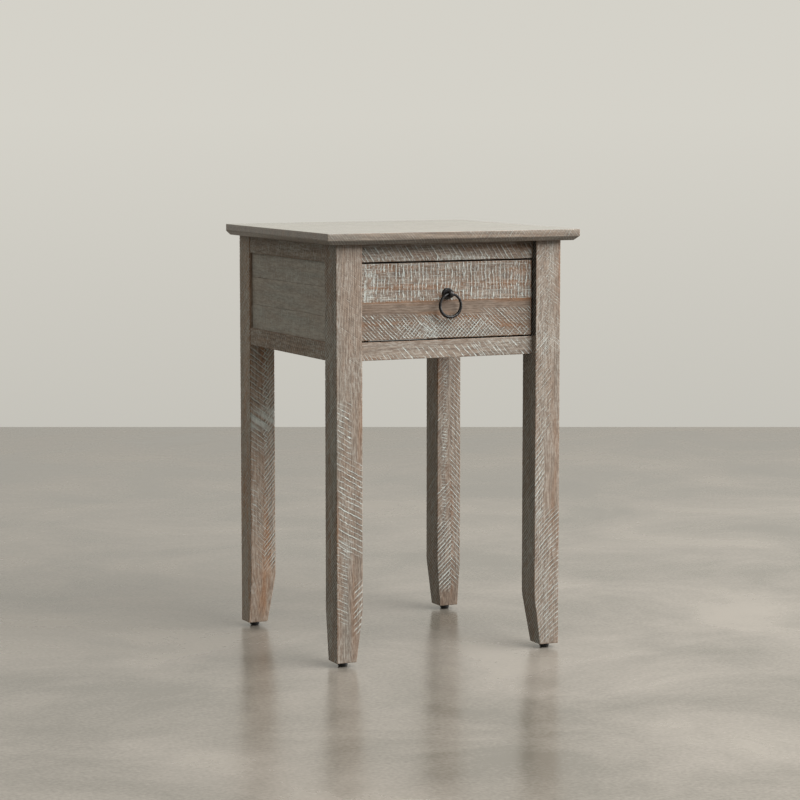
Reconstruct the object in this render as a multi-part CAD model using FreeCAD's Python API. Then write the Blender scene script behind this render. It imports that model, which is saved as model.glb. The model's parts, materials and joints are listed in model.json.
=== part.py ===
import FreeCAD, Part
import os

# Side table with one drawer.
# Millimetres, +X to the right, +Y to the back, +Z up.
# The origin is on the floor, under the middle of the table top.

# ---- driving dimensions ----------------------------------------------------
HEIGHT = 635.0            # floor to the top face
TOP_WIDTH = 410.0
TOP_DEPTH = 397.0
TOP_THICK = 17.0
TOP_BOARDS = 4            # boards edge-glued to make the top, running left to right
CHAMFER_DEEP = 7.0        # under-chamfer of the front and side edges, going inwards
CHAMFER_HIGH = 6.5        # the same chamfer, measured upwards
FRAME_WIDTH = 366.5       # over the outer faces of the legs
FRAME_DEPTH = 375.5
BACK_OVERHANG = 1.5       # top past the rear faces of the back legs
LEG = 41.5                # square section of a leg
TAPER = 10.0              # taken off each inner face at the foot
TAPER_RISE = 75.0         # height over which the foot tapers
GLIDE_HIGH = 7.0
GLIDE_RADIUS = 7.2
RAIL_HIGH = 27.0
RAIL_THICK = 20.0
LOWER_RAIL = 448.0        # underside of the lower rails
FRONT_RECESS = 11.0       # front rails behind the front faces of the legs
SIDE_RECESS = 1.0         # side and back rails behind the outer faces of the legs
PANEL_RECESS = 4.8        # panels behind the outer faces of the legs
PANEL_THICK = 9.0
PANEL_BOARDS = 3
GROOVE = 6.0              # depth of the panel grooves
PANEL_PLAY = 0.5          # room left at the bottom of a groove
DOWEL_RADIUS = 3.0
DOWEL_LONG = 30.0
FRONT_GAP = 2.0           # above and below the drawer front
SIDE_GAP = 1.5            # at each end of the drawer front
SLIDE_PLAY = 0.3          # between the drawer and what it slides on or stops at
FRONT_THICK = 19.0        # drawer front
BOX_THICK = 12.0          # drawer sides and back
BOX_BACK = 160.0          # rear face of the drawer box
BOX_TOP = 587.0           # top edge of the drawer sides
BOTTOM_THICK = 5.0        # plywood drawer bottom
BOTTOM_RISE = 10.0        # drawer bottom above the lower edge of the sides
TRAVEL = 240.0            # how far the drawer comes out
PULL_HEIGHT = 542.5       # centre of the pull above the floor
PULL_REACH = 11.0         # ring plane in front of the drawer front
RING_RADIUS = 17.0        # to the middle of the wire
WIRE_RADIUS = 2.0
EYE_RADIUS = 5.75
EYE_HALF = 3.6            # half the thickness of the flattened eye
EYE_HOLE = 2.7
ROSETTE_RADIUS = 8.5
ROSETTE_THICK = 3.5
SHANK_RADIUS = 2.0

# ---- levels and planes that follow from them -------------------------------
UNDERSIDE = HEIGHT - TOP_THICK
UPPER_RAIL = UNDERSIDE - RAIL_HIGH
LOWER_RAIL_TOP = LOWER_RAIL + RAIL_HIGH
OUTER_X = FRAME_WIDTH / 2
INNER_X = OUTER_X - LEG
BACK_Y = TOP_DEPTH / 2 - BACK_OVERHANG
FRONT_Y = BACK_Y - FRAME_DEPTH
FRONT_PLANE = FRONT_Y + FRONT_RECESS          # faces of the front rails and the drawer
FRONT_RAIL_BACK = FRONT_PLANE + RAIL_THICK
BACK_RAIL_FRONT = BACK_Y - SIDE_RECESS - RAIL_THICK
SIDE_RAIL_IN = OUTER_X - SIDE_RECESS - RAIL_THICK
LEG_BACK_OF_FRONT = FRONT_Y + LEG
LEG_FRONT_OF_BACK = BACK_Y - LEG
BOX_BOTTOM = LOWER_RAIL_TOP + SLIDE_PLAY
BOX_OUT = INNER_X - SIDE_GAP                  # outer faces of the drawer
BOX_IN = BOX_OUT - BOX_THICK
PLY_BOTTOM = BOX_BOTTOM + BOTTOM_RISE
PLY_TOP = PLY_BOTTOM + BOTTOM_THICK
FRONT_BACK = FRONT_PLANE + FRONT_THICK        # rear face of the drawer front
LEFT, RIGHT = -1, 1


# ---- helpers ---------------------------------------------------------------
def span(x0, x1, y0, y1, z0, z1):
    """A box between two limits on each axis, given in either order."""
    corner = FreeCAD.Vector(min(x0, x1), min(y0, y1), min(z0, z1))
    return Part.makeBox(abs(x1 - x0), abs(y1 - y0), abs(z1 - z0), corner)


def rod(radius, start, direction, length):
    """A round rod from a start point along a direction."""
    return Part.makeCylinder(radius, length, FreeCAD.Vector(*start), FreeCAD.Vector(*direction))


def prism(points, sweep):
    """A closed outline of 3-D points swept along one vector."""
    outline = Part.makePolygon([FreeCAD.Vector(*point) for point in points + points[:1]])
    return Part.Face(outline).extrude(FreeCAD.Vector(*sweep))


def save(name, shape):
    """Write one node; a list of solids becomes one group."""
    if isinstance(shape, list):
        shape = Part.makeCompound(shape)
    shape.exportStep("parts/" + name + ".step")
    print(name, len(shape.Solids), [round(size, 2) for size in (
        shape.BoundBox.XLength, shape.BoundBox.YLength, shape.BoundBox.ZLength)])


def screw(head, direction, length, radius=1.75):
    """A countersunk wood screw with a cross recess, its head face at the given point."""
    head_radius = 2 * radius
    head_deep = radius * 1.25
    recess_deep = radius * 0.7
    recess_wide = radius * 0.5
    centre = FreeCAD.Vector(0, 0, 0)
    body = Part.makeCone(head_radius, radius, head_deep)
    body = body.fuse(Part.makeCylinder(radius, length - radius, centre))
    tip = Part.makeCone(radius, 0.3, radius, FreeCAD.Vector(0, 0, length - radius))
    body = body.fuse(tip).removeSplitter()
    arm = head_radius * 1.2
    for long_x, long_y in ((arm, recess_wide), (recess_wide, arm)):
        body = body.cut(span(-long_x / 2, long_x / 2, -long_y / 2, long_y / 2, 0, recess_deep))
    turn = FreeCAD.Rotation(FreeCAD.Vector(0, 0, 1), FreeCAD.Vector(*direction))
    body.Placement = FreeCAD.Placement(FreeCAD.Vector(*head), turn)
    return body


def screw_hole(head, direction, length, radius=1.75):
    """The hole a screw fills: the screw without its recess."""
    way = FreeCAD.Vector(*direction)
    start = FreeCAD.Vector(*head)
    cone = Part.makeCone(2 * radius, radius, radius * 1.25, start, way)
    return cone.fuse(Part.makeCylinder(radius, length, start, way))


def cut_all(shape, cutters):
    """Take every cutter that comes near the shape away from it."""
    for cutter in cutters:
        if shape.BoundBox.intersect(cutter.BoundBox):
            shape = shape.cut(cutter)
    return shape


# ---- dowels that join the rails to the legs --------------------------------
def dowel_levels(lower):
    """Heights of the two dowels in a rail end, kept clear of the panel groove."""
    middle = (RAIL_HIGH - GROOVE) / 2
    spread = 4.8
    start = LOWER_RAIL if lower else UPPER_RAIL + GROOVE
    return [start + middle - spread, start + middle + spread]


def rail_dowels():
    """Two dowels in each end of all eight rails."""
    dowels = []
    side_x = OUTER_X - SIDE_RECESS - RAIL_THICK / 2
    for lower in (True, False):
        for level in dowel_levels(lower):
            for side in (LEFT, RIGHT):
                for y in (FRONT_PLANE + RAIL_THICK / 2, BACK_RAIL_FRONT + RAIL_THICK / 2):
                    start = (side * INNER_X - DOWEL_LONG / 2, y, level)
                    dowels.append(rod(DOWEL_RADIUS, start, (1, 0, 0), DOWEL_LONG))
                for y in (LEG_BACK_OF_FRONT, LEG_FRONT_OF_BACK):
                    start = (side * side_x, y - DOWEL_LONG / 2, level)
                    dowels.append(rod(DOWEL_RADIUS, start, (0, 1, 0), DOWEL_LONG))
    return dowels


# ---- legs, glides ----------------------------------------------------------
def foot_centre(side, rear):
    """Middle of the small square a leg stands on."""
    half_foot = (LEG - TAPER) / 2
    x = side * (OUTER_X - half_foot)
    y = BACK_Y - half_foot if rear else FRONT_Y + half_foot
    return x, y


def leg(side, rear):
    """One leg: square, its two inner faces tapered at the foot, grooved for the panels."""
    outer_x = side * OUTER_X
    inner_x = side * INNER_X
    outer_y = BACK_Y if rear else FRONT_Y
    inner_y = LEG_FRONT_OF_BACK if rear else LEG_BACK_OF_FRONT
    out_y = 1 if rear else -1
    top_of_taper = GLIDE_HIGH + TAPER_RISE
    post = span(outer_x, inner_x, outer_y, inner_y, GLIDE_HIGH, UNDERSIDE)
    across = [(inner_x, inner_y, GLIDE_HIGH), (inner_x + side * TAPER, inner_y, GLIDE_HIGH),
              (inner_x, inner_y, top_of_taper)]
    along = [(inner_x, inner_y, GLIDE_HIGH), (inner_x, inner_y + out_y * TAPER, GLIDE_HIGH),
             (inner_x, inner_y, top_of_taper)]
    post = post.cut(prism(across, (0, out_y * LEG, 0)))
    post = post.cut(prism(along, (side * LEG, 0, 0)))
    face = outer_x - side * PANEL_RECESS
    post = post.cut(span(face, face - side * PANEL_THICK, inner_y, inner_y + out_y * GROOVE,
                         LOWER_RAIL_TOP - GROOVE, UPPER_RAIL + GROOVE))
    if rear:
        face = outer_y - PANEL_RECESS
        post = post.cut(span(inner_x, inner_x + side * GROOVE, face, face - PANEL_THICK,
                             LOWER_RAIL_TOP - GROOVE, UPPER_RAIL + GROOVE))
    return post


def glide_nail(side, rear):
    """The nail that holds a glide, driven up into the foot."""
    x, y = foot_centre(side, rear)
    nail_start = 4.0
    nail_long = 18.0
    shank = rod(1.0, (x, y, nail_start), (0, 0, 1), nail_long)
    return shank.fuse(rod(2.6, (x, y, nail_start), (0, 0, 1), 1.0))


def glide(side, rear):
    """A round nail-on glide with a rounded lower rim."""
    x, y = foot_centre(side, rear)
    rim = 2.6
    cap = rod(GLIDE_RADIUS, (x, y, 0), (0, 0, 1), GLIDE_HIGH)
    lower = [edge for edge in cap.Edges if edge.BoundBox.ZMax < 0.01]
    return cap.makeFillet(rim, lower)


# ---- rails and panels ------------------------------------------------------
def cross_rail(y0, y1, lower, grooved):
    """A front or back rail between the legs; a back rail is grooved for its panel."""
    base = LOWER_RAIL if lower else UPPER_RAIL
    rail = span(-INNER_X, INNER_X, y0, y1, base, base + RAIL_HIGH)
    if grooved:
        face = BACK_Y - PANEL_RECESS
        edge = LOWER_RAIL_TOP if lower else UPPER_RAIL
        deep = -GROOVE if lower else GROOVE
        rail = rail.cut(span(-INNER_X, INNER_X, face, face - PANEL_THICK, edge, edge + deep))
    return rail


def side_rail(side, lower):
    """A side rail between the front and back leg, grooved for the side panel."""
    base = LOWER_RAIL if lower else UPPER_RAIL
    rail = span(side * (OUTER_X - SIDE_RECESS), side * SIDE_RAIL_IN,
                LEG_BACK_OF_FRONT, LEG_FRONT_OF_BACK, base, base + RAIL_HIGH)
    face = side * (OUTER_X - PANEL_RECESS)
    edge = LOWER_RAIL_TOP if lower else UPPER_RAIL
    deep = -GROOVE if lower else GROOVE
    return rail.cut(span(face, face - side * PANEL_THICK,
                         LEG_BACK_OF_FRONT, LEG_FRONT_OF_BACK, edge, edge + deep))


def panel_boards(x0, x1, y0, y1):
    """A panel split into equal boards lying one on another, lowest first."""
    low = LOWER_RAIL_TOP - GROOVE + PANEL_PLAY
    high = UPPER_RAIL + GROOVE - PANEL_PLAY
    step = (high - low) / PANEL_BOARDS
    return [span(x0, x1, y0, y1, low + step * row, low + step * (row + 1))
            for row in range(PANEL_BOARDS)]


# ---- table top -------------------------------------------------------------
def top_boards():
    """The top, chamfered under its front and side edges, cut into its boards, front first."""
    half_x = TOP_WIDTH / 2
    half_y = TOP_DEPTH / 2
    slab = span(-half_x, half_x, -half_y, half_y, UNDERSIDE, HEIGHT)
    for side in (LEFT, RIGHT):
        edge = [(side * half_x, -half_y, UNDERSIDE),
                (side * half_x, -half_y, UNDERSIDE + CHAMFER_HIGH),
                (side * (half_x - CHAMFER_DEEP), -half_y, UNDERSIDE)]
        slab = slab.cut(prism(edge, (0, TOP_DEPTH, 0)))
    edge = [(-half_x, -half_y, UNDERSIDE), (-half_x, -half_y, UNDERSIDE + CHAMFER_HIGH),
            (-half_x, -half_y + CHAMFER_DEEP, UNDERSIDE)]
    slab = slab.cut(prism(edge, (TOP_WIDTH, 0, 0)))
    step = TOP_DEPTH / TOP_BOARDS
    return [slab.common(span(-half_x, half_x, -half_y + step * row, -half_y + step * (row + 1),
                             UNDERSIDE, HEIGHT)) for row in range(TOP_BOARDS)]


# ---- what the drawer runs on -----------------------------------------------
SHELF_IN = 118.0          # inner edges of the runners and kickers
RUNNER_HIGH = 20.0
GUIDE_PLAY = 0.75         # between a guide and the drawer side
GUIDE_HIGH = 18.0
STOP_HIGH = 20.0
SCREW_ROWS = (-100.0, 10.0, 120.0)
COUNTERBORE = 20.0


def notched_shelf(side, z0, z1):
    """A board along one side of the frame, notched around the two legs."""
    shelf = span(side * SHELF_IN, side * SIDE_RAIL_IN, FRONT_RAIL_BACK, BACK_RAIL_FRONT, z0, z1)
    far = side * (SIDE_RAIL_IN + 1)
    shelf = shelf.cut(span(side * INNER_X, far, FRONT_RAIL_BACK, LEG_BACK_OF_FRONT, z0, z1))
    return shelf.cut(span(side * INNER_X, far, LEG_FRONT_OF_BACK, BACK_RAIL_FRONT, z0, z1))


def runner_screw_places(side):
    """Head positions of the screws from a runner into its side rail."""
    x = side * (SHELF_IN + COUNTERBORE)
    return [(x, y, LOWER_RAIL_TOP - RUNNER_HIGH / 2) for y in SCREW_ROWS]


RUNNER_SCREW = 38.0


def runner(side):
    """The board a drawer side slides on, its upper face level with the lower rails."""
    board = notched_shelf(side, LOWER_RAIL_TOP - RUNNER_HIGH, LOWER_RAIL_TOP)
    for x, y, z in runner_screw_places(side):
        board = board.cut(rod(4.5, (side * SHELF_IN, y, z), (side, 0, 0), COUNTERBORE))
        board = board.cut(screw_hole((x, y, z), (side, 0, 0), RUNNER_SCREW))
    return board


TOP_SCREW = 38.0
TOP_SCREW_X = 130.0


def top_screw_places():
    """Head positions of the screws that go up through the kickers into the top."""
    return [(side * TOP_SCREW_X, y, UPPER_RAIL) for side in (LEFT, RIGHT) for y in SCREW_ROWS]


def guide(side):
    """The strip on a runner that keeps the drawer from wandering sideways."""
    inner = BOX_OUT + GUIDE_PLAY
    return span(side * inner, side * (SIDE_RAIL_IN - 2), LEG_BACK_OF_FRONT, LEG_FRONT_OF_BACK,
                LOWER_RAIL_TOP, LOWER_RAIL_TOP + GUIDE_HIGH)


def closing_stop(side):
    """The block at the back of a runner that the closed drawer meets."""
    return span(side * (SHELF_IN + 4), side * BOX_OUT, BOX_BACK + SLIDE_PLAY, BACK_RAIL_FRONT,
                LOWER_RAIL_TOP, LOWER_RAIL_TOP + STOP_HIGH)


TAB_HALF = 15.0
TAB_THICK = 8.0
TAB_LOW = 562.0
TAB_TOP = 606.0


def opening_stop():
    """The block behind the front rail that the tab on the drawer back meets."""
    return span(-TAB_HALF, TAB_HALF, FRONT_RAIL_BACK, BOX_BACK - TRAVEL - SLIDE_PLAY,
                UPPER_RAIL + GROOVE, UNDERSIDE)


# ---- drawer ----------------------------------------------------------------
FRONT_LOW = LOWER_RAIL_TOP + FRONT_GAP
FRONT_HIGH = UPPER_RAIL - FRONT_GAP
FRONT_SEAM = FRONT_LOW + 0.495 * (FRONT_HIGH - FRONT_LOW)
REBATE = 9.0              # how far the sides reach into the drawer front
SIDE_GROOVE = 5.0         # depth of the grooves inside the drawer
BACK_HIGH = 580.0
PIN_RADIUS = 2.0
PIN_LONG = 27.0


def drawer_front(lower):
    """One of the two boards of the drawer front, rebated for the sides."""
    low, high = (FRONT_LOW, FRONT_SEAM) if lower else (FRONT_SEAM, FRONT_HIGH)
    board = span(-BOX_OUT, BOX_OUT, FRONT_PLANE, FRONT_BACK, low, high)
    for side in (LEFT, RIGHT):
        board = board.cut(span(side * BOX_OUT, side * BOX_IN, FRONT_BACK - REBATE, FRONT_BACK,
                               BOX_BOTTOM, BOX_TOP))
    if lower:
        board = board.cut(span(-BOX_IN - SIDE_GROOVE, BOX_IN + SIDE_GROOVE,
                               FRONT_BACK - SIDE_GROOVE, FRONT_BACK, PLY_BOTTOM, PLY_TOP))
    else:
        board = board.cut(rod(SHANK_RADIUS, (0, FRONT_PLANE, PULL_HEIGHT), (0, 1, 0), FRONT_THICK))
    return board


def drawer_side(side):
    """A drawer side, grooved for the bottom and the back."""
    board = span(side * BOX_OUT, side * BOX_IN, FRONT_BACK - REBATE, BOX_BACK, BOX_BOTTOM, BOX_TOP)
    inner = side * BOX_IN
    deep = inner + side * SIDE_GROOVE
    board = board.cut(span(inner, deep, FRONT_BACK - REBATE, BOX_BACK, PLY_BOTTOM, PLY_TOP))
    return board.cut(span(inner, deep, BOX_BACK - BOX_THICK, BOX_BACK, PLY_TOP, BACK_HIGH))


def drawer_pins():
    """Wooden pins through the drawer sides into the front."""
    pins = []
    y = FRONT_BACK - REBATE / 2
    for side in (LEFT, RIGHT):
        for z in (496.0, 519.0, 547.0, 572.0):
            pins.append(rod(PIN_RADIUS, (side * BOX_OUT, y, z), (-side, 0, 0), PIN_LONG))
    return pins


BOTTOM_SCREW = 20.0
BOTTOM_SCREW_RADIUS = 1.5
TAB_SCREW = 17.0
TAB_SCREW_RADIUS = 1.5


def bottom_screw_places():
    """Head positions of the screws from the drawer bottom into the drawer back."""
    return [(x, BOX_BACK - BOX_THICK / 2, PLY_BOTTOM) for x in (-85.0, 0.0, 85.0)]


def tab_screw_places():
    """Head positions of the screws that hold the stop tab."""
    return [(x, BOX_BACK + TAB_THICK, (TAB_LOW + BACK_HIGH) / 2) for x in (-8.0, 8.0)]


# ---- ring pull -------------------------------------------------------------
PIVOT_Y = FRONT_PLANE - PULL_REACH
NECK_RADIUS = 3.4
WASHER_RADIUS = 6.0
WASHER_THICK = 1.0
NUT_FLATS = 7.0
NUT_THICK = 3.2
SHANK_END = 1.8           # shank past the nut


def rosette():
    """The round plate under the pull, with a rounded front rim."""
    plate = rod(ROSETTE_RADIUS, (0, FRONT_PLANE - ROSETTE_THICK, PULL_HEIGHT), (0, 1, 0),
                ROSETTE_THICK)
    rim = [edge for edge in plate.Edges
           if edge.BoundBox.YMax < FRONT_PLANE - ROSETTE_THICK + 0.01]
    plate = plate.makeFillet(1.6, rim)
    return plate.cut(rod(SHANK_RADIUS, (0, FRONT_PLANE - ROSETTE_THICK, PULL_HEIGHT), (0, 1, 0),
                         ROSETTE_THICK))


def eye_post():
    """The eye that holds the ring, its neck, and the threaded shank through the drawer front."""
    centre = FreeCAD.Vector(0, PIVOT_Y, PULL_HEIGHT)
    eye = Part.makeSphere(EYE_RADIUS, centre)
    cheek = span(-EYE_HALF, EYE_HALF, PIVOT_Y - EYE_RADIUS, PIVOT_Y + EYE_RADIUS,
                 PULL_HEIGHT - EYE_RADIUS, PULL_HEIGHT + EYE_RADIUS)
    eye = eye.common(cheek)
    plate_face = FRONT_PLANE - ROSETTE_THICK
    neck_start = PIVOT_Y + EYE_HOLE
    neck = rod(NECK_RADIUS, (0, neck_start, PULL_HEIGHT), (0, 1, 0), plate_face - neck_start)
    shank_to = FRONT_BACK + WASHER_THICK + NUT_THICK + SHANK_END
    shank = rod(SHANK_RADIUS, (0, plate_face - 1, PULL_HEIGHT), (0, 1, 0),
                shank_to - plate_face + 1)
    post = eye.fuse([neck, shank])
    hole = rod(EYE_HOLE, (-EYE_RADIUS, PIVOT_Y, PULL_HEIGHT), (1, 0, 0), 2 * EYE_RADIUS)
    return post.cut(hole)


def washer():
    """The plain washer behind the drawer front."""
    disc = rod(WASHER_RADIUS, (0, FRONT_BACK, PULL_HEIGHT), (0, 1, 0), WASHER_THICK)
    return disc.cut(rod(SHANK_RADIUS, (0, FRONT_BACK, PULL_HEIGHT), (0, 1, 0), WASHER_THICK))


def nut():
    """The hexagon nut on the shank of the pull."""
    start = FRONT_BACK + WASHER_THICK
    corner = NUT_FLATS / 3 ** 0.5
    half = NUT_FLATS / 2
    outline = [(corner, 0), (corner / 2, half), (-corner / 2, half),
               (-corner, 0), (-corner / 2, -half), (corner / 2, -half)]
    points = [(x, start, PULL_HEIGHT + z) for x, z in outline]
    block = prism(points, (0, NUT_THICK, 0))
    return block.cut(rod(SHANK_RADIUS, (0, start, PULL_HEIGHT), (0, 1, 0), NUT_THICK))


def ring():
    """The plain round ring, hanging from the eye."""
    centre = FreeCAD.Vector(0, PIVOT_Y, PULL_HEIGHT - RING_RADIUS)
    return Part.makeTorus(RING_RADIUS, WIRE_RADIUS, centre, FreeCAD.Vector(0, 1, 0))


# ---- write every node ------------------------------------------------------
os.makedirs("parts", exist_ok=True)
SIDES = (("left", LEFT), ("right", RIGHT))
ENDS = (("front", False), ("back", True))

dowels = rail_dowels()
save("rail_dowels", dowels)

top_holes = [screw_hole(head, (0, 0, 1), TOP_SCREW) for head in top_screw_places()]
for number, board in enumerate(top_boards(), start=1):
    save("top_board_%d" % number, cut_all(board, top_holes))
save("top_fixing_screws", [screw(head, (0, 0, 1), TOP_SCREW) for head in top_screw_places()])

nails = []
for end_name, rear in ENDS:
    for side_name, side in SIDES:
        place = end_name + "_" + side_name
        nail = glide_nail(side, rear)
        nails.append(nail)
        save("leg_" + place, cut_all(leg(side, rear), dowels + [nail]))
        save("glide_" + place, glide(side, rear).cut(nail))
save("glide_nails", nails)

for level_name, lower in (("top", False), ("bottom", True)):
    front = cross_rail(FRONT_PLANE, FRONT_RAIL_BACK, lower, False)
    save("front_%s_rail" % level_name, cut_all(front, dowels))
    back = cross_rail(BACK_RAIL_FRONT, BACK_RAIL_FRONT + RAIL_THICK, lower, True)
    save("back_%s_rail" % level_name, cut_all(back, dowels))

runner_screws = []
for side_name, side in SIDES:
    holes = [screw_hole(head, (side, 0, 0), RUNNER_SCREW) for head in runner_screw_places(side)]
    for level_name, lower in (("top", False), ("bottom", True)):
        save("%s_%s_rail" % (side_name, level_name),
             cut_all(side_rail(side, lower), dowels + holes))
    outer = side * (OUTER_X - PANEL_RECESS)
    reach = GROOVE - PANEL_PLAY
    boards = panel_boards(outer, outer - side * PANEL_THICK,
                          LEG_BACK_OF_FRONT - reach, LEG_FRONT_OF_BACK + reach)
    for number, board in enumerate(boards, start=1):
        save("%s_panel_board_%d" % (side_name, number), board)
    save("runner_" + side_name, runner(side))
    runner_screws += [screw(head, (side, 0, 0), RUNNER_SCREW)
                      for head in runner_screw_places(side)]
    kicker = notched_shelf(side, UPPER_RAIL, UNDERSIDE)
    save("kicker_" + side_name, cut_all(kicker, top_holes))
    save("guide_" + side_name, guide(side))
    save("closing_stop_" + side_name, closing_stop(side))
    save("drawer_side_" + side_name, cut_all(drawer_side(side), drawer_pins()))
save("runner_screws", runner_screws)
save("opening_stop", opening_stop())

reach = GROOVE - PANEL_PLAY
boards = panel_boards(-INNER_X - reach, INNER_X + reach,
                      BACK_Y - PANEL_RECESS - PANEL_THICK, BACK_Y - PANEL_RECESS)
for number, board in enumerate(boards, start=1):
    save("back_panel_board_%d" % number, board)

save("drawer_front_upper", cut_all(drawer_front(False), drawer_pins()))
save("drawer_front_lower", cut_all(drawer_front(True), drawer_pins()))
save("drawer_pins", drawer_pins())

bottom_holes = [screw_hole(head, (0, 0, 1), BOTTOM_SCREW, BOTTOM_SCREW_RADIUS)
                for head in bottom_screw_places()]
tab_holes = [screw_hole(head, (0, -1, 0), TAB_SCREW, TAB_SCREW_RADIUS)
             for head in tab_screw_places()]
plywood = span(-BOX_IN - SIDE_GROOVE, BOX_IN + SIDE_GROOVE, FRONT_BACK - SIDE_GROOVE, BOX_BACK,
               PLY_BOTTOM, PLY_TOP)
save("drawer_bottom", cut_all(plywood, bottom_holes))
back = span(-BOX_IN - SIDE_GROOVE, BOX_IN + SIDE_GROOVE, BOX_BACK - BOX_THICK, BOX_BACK,
            PLY_TOP, BACK_HIGH)
save("drawer_back", cut_all(back, bottom_holes + tab_holes))
tab = span(-TAB_HALF, TAB_HALF, BOX_BACK, BOX_BACK + TAB_THICK, TAB_LOW, TAB_TOP)
save("drawer_stop_tab", cut_all(tab, tab_holes))
save("drawer_bottom_screws", [screw(head, (0, 0, 1), BOTTOM_SCREW, BOTTOM_SCREW_RADIUS)
                              for head in bottom_screw_places()])
save("stop_tab_screws", [screw(head, (0, -1, 0), TAB_SCREW, TAB_SCREW_RADIUS)
                         for head in tab_screw_places()])

save("pull_rosette", rosette())
save("pull_eye_post", eye_post())
save("pull_washer", washer())
save("pull_nut", nut())
save("pull_ring", ring())
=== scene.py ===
# %% [markdown]
# # A side table in rough-sawn, limed pine
# The table is square, with a panelled box on four legs and one drawer opened by an iron ring.
# Everything hard was drawn in CAD first. This lesson loads those bodies, keeps the small
# fittings as they are, and remakes the boards that are seen with real saw marks in them.

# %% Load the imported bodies
import json
import math

import bmesh
import bpy
import numpy as np
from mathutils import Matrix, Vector


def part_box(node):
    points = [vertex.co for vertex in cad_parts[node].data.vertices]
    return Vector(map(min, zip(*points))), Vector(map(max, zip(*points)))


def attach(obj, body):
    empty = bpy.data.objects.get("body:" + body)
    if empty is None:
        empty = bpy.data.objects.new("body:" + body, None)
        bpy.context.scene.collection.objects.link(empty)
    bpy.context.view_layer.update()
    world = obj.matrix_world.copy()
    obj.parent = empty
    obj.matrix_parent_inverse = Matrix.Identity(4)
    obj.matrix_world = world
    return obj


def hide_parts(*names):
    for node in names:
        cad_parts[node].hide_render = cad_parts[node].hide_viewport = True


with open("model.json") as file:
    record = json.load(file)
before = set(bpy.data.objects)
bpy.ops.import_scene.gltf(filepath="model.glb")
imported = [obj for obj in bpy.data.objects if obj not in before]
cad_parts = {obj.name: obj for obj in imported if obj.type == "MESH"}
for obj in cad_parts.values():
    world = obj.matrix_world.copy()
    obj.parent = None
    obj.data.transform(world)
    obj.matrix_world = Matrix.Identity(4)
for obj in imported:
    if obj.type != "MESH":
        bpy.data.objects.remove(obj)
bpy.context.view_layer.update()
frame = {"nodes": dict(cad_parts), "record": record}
MM = 0.001

# %% [markdown]
# ## Small helpers
# Colours are picked as sRGB hex values, as a paint chart gives them, and Blender wants linear
# light. A node tree is easier to read when one short function adds a node, sets its options
# and joins its inputs. Both helpers, and one that starts a material, come before anything else.

# %% Colour and node helpers
def paint(hex_colour):
    """An sRGB hex colour as linear RGBA."""
    shares = [int(hex_colour[i:i + 2], 16) / 255 for i in (1, 3, 5)]
    return (*[s / 12.92 if s <= 0.04045 else ((s + 0.055) / 1.055) ** 2.4 for s in shares], 1.0)


def add(tree, kind, inputs=(), **settings):
    """Add a node. Inputs, a list or a dict, hold values, sockets or nodes to join."""
    node = tree.nodes.new(kind)
    for name, value in settings.items():
        setattr(node, name, value)
    pairs = inputs.items() if isinstance(inputs, dict) else enumerate(inputs)
    for key, value in pairs:
        if isinstance(value, bpy.types.Node):
            value = value.outputs[0]
        if isinstance(value, bpy.types.NodeSocket):
            tree.links.new(value, node.inputs[key])
        elif value is not None:
            node.inputs[key].default_value = value
    return node


MATH = "ShaderNodeMath"
VECTOR = "ShaderNodeVectorMath"
RANGE = "ShaderNodeMapRange"
NOISE = "ShaderNodeTexNoise"
SPLIT = "ShaderNodeSeparateXYZ"
JOIN = "ShaderNodeCombineXYZ"
MIX = "ShaderNodeMix"


def fresh_material(name):
    """A material with an empty node tree, and the tree."""
    material = bpy.data.materials.new(name)
    material.use_nodes = True
    material.node_tree.nodes.clear()
    return material, material.node_tree


print("pale paint test", [round(c, 3) for c in paint("#cfccc4")])

# %% [markdown]
# ## How a board is described
# A band saw leaves rows of shallow grooves. They run across the grain at a slant, fade in and
# out, and often two passes cross. Each side of a board therefore carries its own cutting
# instructions. They are stored on the mesh as attributes, so that the Geometry Nodes that
# press the grooves in and the material that rubs white lime into them read the same numbers
# and agree to a hair.

# %% Cutting instructions
PASSES = 5
PASS_LAYERS = ("teeth", "zone", "reach", "blade")
SIDES = ("left", "right", "front", "back", "bottom", "top")
RIGHT_OF = ((0, -1, 0), (0, 1, 0), (1, 0, 0), (-1, 0, 0), (1, 0, 0), (1, 0, 0))
UP_OF = ((0, 0, 1), (0, 0, 1), (0, 0, 1), (0, 0, 1), (0, -1, 0), (0, 1, 0))


def cut(slope, pitch, zone=(-2000, 2000), reach=(-200, 200), strength=1.0, arc=0.0, width=1.8,
        wax=1.0, gaps=0.35, shadow=0.5):
    """One pass of the saw over a face. Lengths are in mm. Slope 0 runs square across the grain,
    and arc bends the rows. The zone is along the grain and the reach across it, from the middle.
    Wax is the white left in a groove, gaps how broken a row is, shadow the dark line beside it."""
    return ((slope, pitch * MM, arc), (zone[0] * MM, zone[1] * MM, strength),
            (reach[0] * MM, reach[1] * MM, wax), (width * MM, gaps, shadow))


NO_CUT = cut(0, 8, strength=0)
print("passes a side can hold", PASSES)

# %% [markdown]
# ## Making a blank
# A blank is a closed box of small quads: small because the saw marks become real dents in it.
# Grid lines crowd near the edges, where the wood is worn round, and a shape rule then tapers
# or chamfers the blank. The saw could be a texture only, but a dented edge shows against the
# light and a flat texture never does.

# %% A closed box of small quads
QUARTER_ROUND = 0.586


def grid_lines(low, high, cell, radius, extra=()):
    """Grid positions between two ends, with a few lines close to each rounded edge. One of
    them lands a quarter of the way round the edge once it is rounded."""
    count = max(1, round((high - low - 2 * radius) / cell))
    lines = list(np.linspace(low + radius, high - radius, count + 1)) + list(extra)
    inset = QUARTER_ROUND * radius
    lines += [low, high, low + inset, high - inset]
    return np.unique(np.round(lines, 7))


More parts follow.
